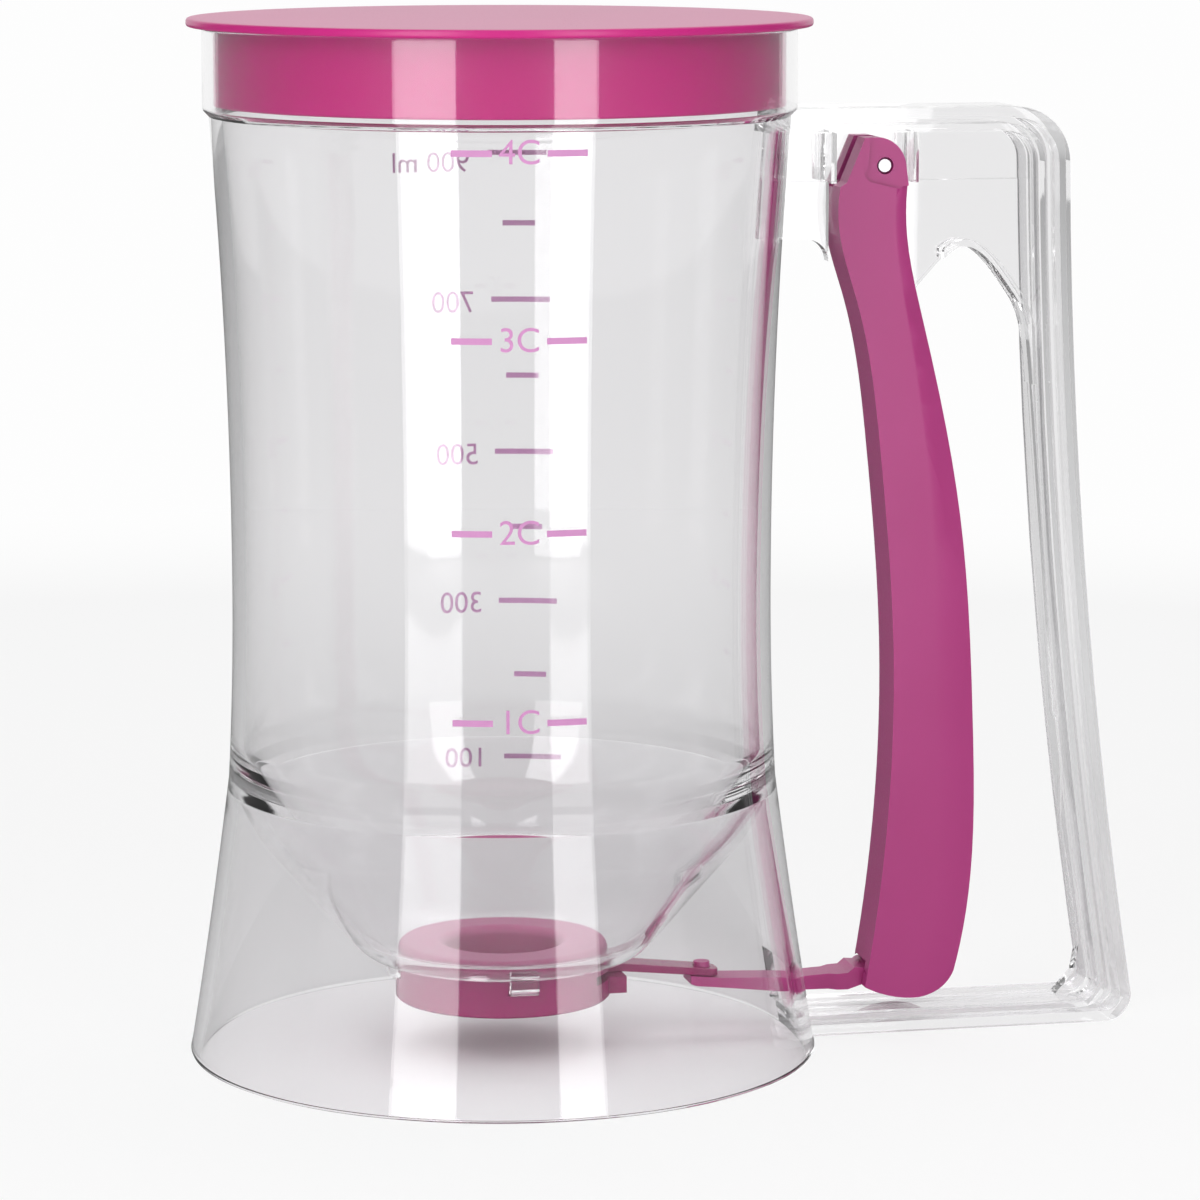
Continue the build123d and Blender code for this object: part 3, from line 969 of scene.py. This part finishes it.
# ---------------------------------------------------------------- printed scales
@dataclass
class Scales:
    """Two printed scales on the outside of the wall: cups in front, and millilitres on the far side."""

    jug: Jug
    lift: float = 0.06
    ink: float = 0.04
    cup_turn: float = -97.2
    cup_size: float = 5.9
    cup_gap: float = 8.07
    cup_bar: float = 6.9
    cup_stroke: float = 1.1
    line_turn: float = 70.96
    figure_turn: float = 81.41
    lean: float = 0.0285
    litre_size: float = 5.7
    long_bar: float = 11.4
    short_bar: float = 6.3
    litre_stroke: float = 1.0
    bar_cuts: int = 11
    figure_cuts: int = 2
    cups: dict[str, float] = field(default_factory=lambda: {"4C": 164.4, "3C": 132.9, "2C": 100.2, "1C": 67.8})
    figures: dict[str, float] = field(default_factory=lambda: {
        "900 ml": 156.2, "700": 130.0, "500": 101.5, "300": 73.4, "100": 43.2})
    long_lines: tuple[float, ...] = (158.3, 130.7, 102.2, 73.9, 43.6)
    short_lines: tuple[float, ...] = (144.9, 116.5, 88.0, 59.8)

    def wrap(self, obj: bpy.types.Object, turn: float, height: float) -> None:
        """Lays a flat drawing, made in X and Y about its own origin, on the wall, and gives it its thickness.

        Args:
            obj: the flat mesh, in millimetres.
            turn: degrees round the axis where its origin goes.
            height: the height of its origin.
        """
        for vertex in obj.data.vertices:
            across, up = vertex.co.x, vertex.co.y
            z = height + up
            radius = self.jug.outer_radius(z) + self.lift
            angle = math.radians(turn) + across / radius
            vertex.co = Vector((radius * math.cos(angle), radius * math.sin(angle), z)) * MM
        press(obj, "SOLIDIFY", thickness=self.ink * MM, offset=-1.0)

    def bar(self, length: float, stroke: float) -> bpy.types.Object:
        """A flat line, centred, with enough cuts to follow the wall.

        Args:
            length: millimetres along the wall.
            stroke: its thickness.

        Returns:
            The flat mesh object.
        """
        deselect()
        bpy.ops.mesh.primitive_plane_add(size=1.0, location=(0, 0, 0))
        obj = bpy.context.object
        for vertex in obj.data.vertices:
            vertex.co.x *= length
            vertex.co.y *= stroke
        bpy.ops.object.mode_set(mode="EDIT")
        bpy.ops.mesh.select_all(action="SELECT")
        bpy.ops.mesh.subdivide(number_cuts=self.bar_cuts)
        bpy.ops.object.mode_set(mode="OBJECT")
        return obj

    def numeral(self, words: str, size: float, align: str) -> bpy.types.Object:
        """Flat figures with enough cuts to follow the wall.

        Args:
            words: the figures.
            size: the font's size in millimetres.
            align: CENTER or LEFT.

        Returns:
            The flat mesh object.
        """
        deselect()
        bpy.ops.object.text_add(location=(0, 0, 0))
        obj = bpy.context.object
        obj.data.body = words
        obj.data.size = size
        obj.data.align_x = align
        obj.data.align_y = "CENTER"
        bpy.ops.object.convert(target="MESH")
        obj = bpy.context.object
        press(obj, "TRIANGULATE")
        take(obj)
        bpy.ops.object.mode_set(mode="EDIT")
        bpy.ops.mesh.select_all(action="SELECT")
        bpy.ops.mesh.remove_doubles(threshold=TEXT_MERGE)
        bpy.ops.mesh.subdivide(number_cuts=self.figure_cuts)
        bpy.ops.object.mode_set(mode="OBJECT")
        return obj

    def join(self, pieces: list[bpy.types.Object], name: str) -> bpy.types.Object:
        """One object of several.

        Args:
            pieces: mesh objects.
            name: the joined object's name.

        Returns:
            The joined object.
        """
        deselect()
        for piece in pieces:
            piece.select_set(True)
        bpy.context.view_layer.objects.active = pieces[0]
        bpy.ops.object.join()
        pieces[0].name = pieces[0].data.name = name
        return pieces[0]

    def cup_scale(self) -> bpy.types.Object:
        """The front scale: each figure between two short bars.

        Returns:
            The scale's mesh object.
        """
        marks: list[bpy.types.Object] = []
        for words, height in self.cups.items():
            text = self.numeral(words, self.cup_size, "CENTER")
            self.wrap(text, self.cup_turn, height)
            marks.append(text)
            for side in (-1, 1):
                line = self.bar(self.cup_bar, self.cup_stroke)
                place = side * math.degrees(self.cup_gap / self.jug.outer_radius(height))
                self.wrap(line, self.cup_turn + place, height)
                marks.append(line)
        return self.join(marks, "cup_scale")

    def litre_scale(self) -> bpy.types.Object:
        """The far scale: long lines with figures beside them, and short lines between.

        Returns:
            The scale's mesh object.
        """
        marks: list[bpy.types.Object] = []
        for lines, length in ((self.long_lines, self.long_bar), (self.short_lines, self.short_bar)):
            for height in lines:
                line = self.bar(length, self.litre_stroke)
                self.wrap(line, self.line_turn + self.lean * height, height)
                marks.append(line)
        for words, height in self.figures.items():
            text = self.numeral(words, self.litre_size, "LEFT")
            self.wrap(text, self.figure_turn + self.lean * height, height)
            marks.append(text)
        return self.join(marks, "litre_scale")

    def build(self) -> None:
        """Makes and dresses both scales."""
        cup_ink = ScaleInk("cup_ink", (0.52, 0.21, 0.44), (0.57, 0.26, 0.49))
        litre_ink = ScaleInk("litre_ink", (0.62, 0.27, 0.55), (0.68, 0.33, 0.60))
        dress(self.cup_scale(), cup_ink.material(), Body.JUG)
        dress(self.litre_scale(), litre_ink.material(), Body.JUG)


# ---------------------------------------------------------------- studio
@dataclass
class Studio:
    """Camera, floor, backdrop, world, two tall soft panels on the floor and a soft lamp overhead.

    Its sizes are metres, apart from the camera's place. Each part of a panel has its foot, its head and its share of
    the panel's brightness.
    """

    eye: Place = (-162.4, -848.5, 219.2)
    aim: Place = (0.2053, 0.9659, -0.1576)
    lens: float = 146.8
    sensor: float = 36.0
    sight: float = 100.0
    white: float = 0.985
    white_through: float = 0.9
    room: float = 0.42
    room_gloss: float = 0.16
    room_clear: float = 0.85
    room_tint: Colour = (0.99, 0.995, 1.0)
    backdrop_size: Point = (3.4, 2.6)
    backdrop_reach: float = 2.0
    floor_size: float = 14.0
    floor_drop: float = 0.0002
    floor_colour: float = 0.86
    floor_gloss: float = 0.3
    floor_glow: float = 0.8
    shadow_room: Point = (0.1, 0.7)
    panel_reach: float = 0.46
    panel_parts: tuple[Place, ...] = ((0.026, 0.8, 1.0), (0.017, 0.026, 0.35), (0.002, 0.017, 0.8))
    panel_level: float = 3.6
    panel_turn: float = 27.5
    panel_widths: Point = (0.188, 0.13)
    top_place: Place = (0.3, 0.5, 1.5)
    top_target: Place = (0, 0, 0.09)
    top_size: Point = (1.4, 1.0)
    top_level: float = 1.6
    bounces: int = 32

    def camera(self) -> None:
        """Places the camera, with its lens and its sensor's width in millimetres."""
        data = bpy.data.cameras.new("camera")
        data.lens = self.lens
        data.sensor_width = self.sensor
        data.clip_end = self.sight
        obj = bpy.data.objects.new("camera", data)
        obj.location = Vector(self.eye) * MM
        obj.rotation_euler = Vector(self.aim).to_track_quat("-Z", "Y").to_euler()
        bpy.context.scene.collection.objects.link(obj)
        bpy.context.scene.camera = obj

    def lamp(self, name: str, place: Vector, target: Vector, size: Point, level: float) -> None:
        """A soft lamp.

        Args:
            name: the lamp's name.
            place: its centre in metres.
            target: the point that it faces.
            size: width and height in metres.
            level: its brightness, where 1 is white.
        """
        data = bpy.data.lights.new(name, "AREA")
        data.shape = "RECTANGLE"
        data.size, data.size_y = size
        data.energy = level * math.pi * size[0] * size[1]
        obj = bpy.data.objects.new(name, data)
        obj.location = place
        obj.rotation_euler = (target - place).to_track_quat("-Z", "Y").to_euler()
        obj.visible_camera = False
        bpy.context.scene.collection.objects.link(obj)

    def panel(self, name: str, turn: float, width: float) -> None:
        """A tall soft panel that stands on the floor and faces the object, dimmer near its foot.

        Args:
            name: the panel's name.
            turn: degrees round the object from the camera's side, positive to the camera's right.
            width: metres.
        """
        angle = math.atan2(self.eye[1], self.eye[0]) + math.radians(turn)
        for number, (low, high, share) in enumerate(self.panel_parts):
            target = Vector((0, 0, (low + high) / 2))
            place = target + Vector((math.cos(angle), math.sin(angle), 0)) * self.panel_reach
            self.lamp(f"{name}_{number}", place, target, (width, high - low), self.panel_level * share)

    def world(self) -> None:
        """White seen directly and straight through the plastic, and a grey room for what lights and is reflected."""
        world = bpy.data.worlds.new("studio_world")
        bpy.context.scene.world = world
        world.use_nodes = True
        world.node_tree.nodes.clear()
        tree = Tree(world)
        grey, gloss, clear, white = (
            tree.add("ShaderNodeBackground", Color=(*self.room_tint, 1), Strength=level)
            for level in (self.room, self.room_gloss, self.room_clear, self.white))
        path = tree.add("ShaderNodeLightPath")
        seen = tree.mix(path.outputs["Is Glossy Ray"], grey, gloss)
        seen = tree.mix(path.outputs["Is Transmission Ray"], seen, clear)
        seen = tree.mix(path.outputs["Is Camera Ray"], seen, white)
        tree.add("ShaderNodeOutputWorld", Surface=seen.outputs[0])

    def shine(self, tree: Tree) -> bpy.types.Node:
        """White seen directly, a little less through clear plastic, and the room's level for what it lights.

        Args:
            tree: the floor's or the backdrop's node tree.

        Returns:
            The emission node.
        """
        path = tree.add("ShaderNodeLightPath")
        seen = tree.add("ShaderNodeMapRange", Value=path.outputs["Is Transmission Ray"], To_Min=self.white,
                        To_Max=self.white_through)
        level = tree.add("ShaderNodeMapRange", Value=path.outputs["Is Diffuse Ray"], To_Min=seen.outputs["Result"],
                         To_Max=self.room)
        return tree.add("ShaderNodeEmission", Color=(1, 1, 1, 1), Strength=level.outputs["Result"])

    def floor(self) -> None:
        """A wide pale floor that keeps the object's shadow and fades into the backdrop."""
        deselect()
        bpy.ops.mesh.primitive_plane_add(size=self.floor_size, location=(0, 0, -self.floor_drop))
        obj = bpy.context.object
        obj.name = "floor"
        settle(obj)
        tree = Tree.blank("floor_paint")
        pale, dim = (self.floor_colour,) * 3, (self.floor_gloss,) * 3
        path = tree.add("ShaderNodeLightPath")
        mirrored = tree.reckon("GREATER_THAN", path.outputs["Is Glossy Ray"], path.outputs["Is Transmission Ray"])
        paint = tree.add("ShaderNodeBsdfDiffuse", Color=tree.blend(mirrored, pale, dim))
        away = tree.nodes.new("ShaderNodeVectorMath")
        away.operation = "LENGTH"
        tree.links.new(tree.add("ShaderNodeTexCoord").outputs["Object"], away.inputs[0])
        fade = tree.add("ShaderNodeMapRange", Value=away.outputs["Value"], From_Min=self.shadow_room[0],
                        From_Max=self.shadow_room[1])
        fade.interpolation_type = "SMOOTHSTEP"
        near = tree.reckon("MULTIPLY", path.outputs["Is Camera Ray"], self.floor_glow)
        share = tree.reckon("MAXIMUM", fade.outputs["Result"], near)
        mixed = tree.mix(tree.reckon("MULTIPLY", share, tree.straight()), paint, self.shine(tree))
        obj.data.materials.append(tree.close(mixed))

    def backdrop(self) -> None:
        """A white wall well behind the object, no brighter than the room for what it lights."""
        deselect()
        turn = math.atan2(self.aim[1], self.aim[0])
        bpy.ops.mesh.primitive_plane_add(size=1.0, location=(0, 0, 0), rotation=(math.radians(90), 0, 0))
        obj = bpy.context.object
        obj.name = "backdrop"
        width, height = self.backdrop_size
        obj.scale = (width, height, 1.0)
        settle(obj)
        obj.rotation_euler = (0, 0, turn - math.pi / 2)
        obj.location = (self.backdrop_reach * math.cos(turn), self.backdrop_reach * math.sin(turn), height / 2)
        settle(obj)
        tree = Tree.blank("backdrop_paint")
        obj.data.materials.append(tree.close(self.shine(tree)))

    def build(self) -> None:
        """Sets the whole studio up."""
        self.camera()
        self.world()
        self.floor()
        self.backdrop()
        self.panel("panel_left", -self.panel_turn, self.panel_widths[0])
        self.panel("panel_right", self.panel_turn, self.panel_widths[1])
        self.lamp("lamp_top", Vector(self.top_place), Vector(self.top_target), self.top_size, self.top_level)
        scene = bpy.context.scene
        scene.view_settings.view_transform = "Standard"
        for kind in ("max_bounces", "transmission_bounces", "glossy_bounces", "transparent_max_bounces"):
            setattr(scene.cycles, kind, self.bounces)


def main() -> None:
    """Builds every piece round the frame."""
    logging.basicConfig(level=logging.INFO, format="%(name)s: %(message)s")
    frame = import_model()
    Studio().build()
    jug = Jug()
    jug.build(frame["nodes"])
    Lid().build()
    Mechanism().build(frame["nodes"])
    Scales(jug).build()
    bpy.context.view_layer.update()


if __name__ == "__main__":
    main()
